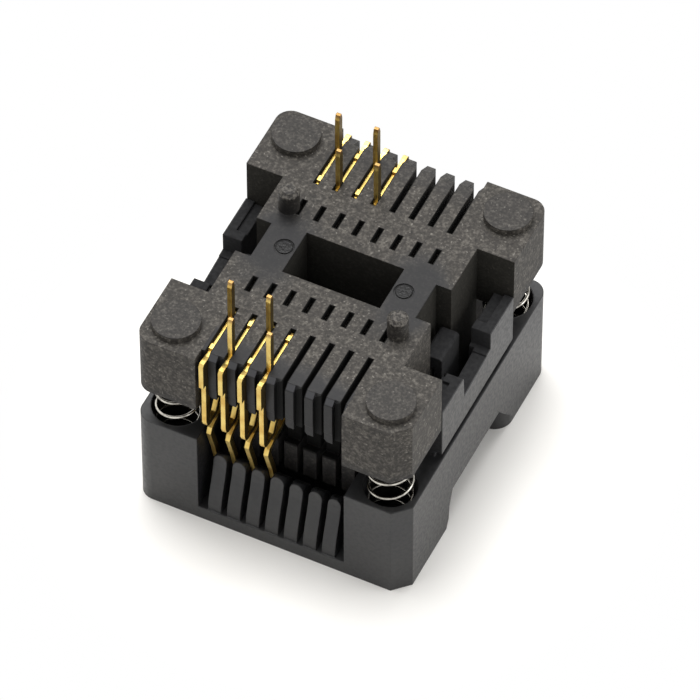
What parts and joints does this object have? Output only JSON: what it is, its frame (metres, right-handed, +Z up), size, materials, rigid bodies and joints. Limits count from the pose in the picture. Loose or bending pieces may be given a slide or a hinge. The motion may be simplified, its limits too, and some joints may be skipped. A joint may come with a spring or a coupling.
{
  "type": "open-top ic test socket",
  "caption": "Open-top press-to-load IC socket, lying pins up on its sprung press cover, with ribbed contact bays, corner springs, locating posts and a part-fitted set of gold contacts.",
  "frame": {"origin": "on the surface that the socket lies on, under the middle of the cover", "axes": "+X along the contact rows, +Y across them towards the back row, +Z up along the terminal pins"},
  "size_m": [0.018, 0.02, 0.0181],
  "materials": {
    "housing_plastic": "glass-filled moulding, fine pebbled grain",
    "cover_plastic": "smooth satin moulding",
    "contact_gold": "gold-plated stamped strip",
    "spring_steel": "bright drawn spring wire"
  },
  "bodies": {
    "cover": {"cover": "cover_plastic", "spring_front_left": "spring_steel", "spring_front_right": "spring_steel", "spring_back_left": "spring_steel", "spring_back_right": "spring_steel"},
    "housing": {"base_housing": "housing_plastic", "contact_front_1": "contact_gold", "contact_front_2": "contact_gold", "contact_front_3": "contact_gold", "contact_front_4": "contact_gold", "contact_back_1": "contact_gold", "contact_back_2": "contact_gold", "contact_back_3": "contact_gold", "contact_back_4": "contact_gold"}
  },
  "joints": [
    {"name": "press_slide", "type": "slide", "parent": "cover", "child": "housing", "axis": [0, 0, -1], "range_m": [0, 0.0025], "stiffness_N_per_m": 550, "springref_m": -0.0015, "deforming": ["spring_front_left", "spring_front_right", "spring_back_left", "spring_back_right"]}
  ]
}
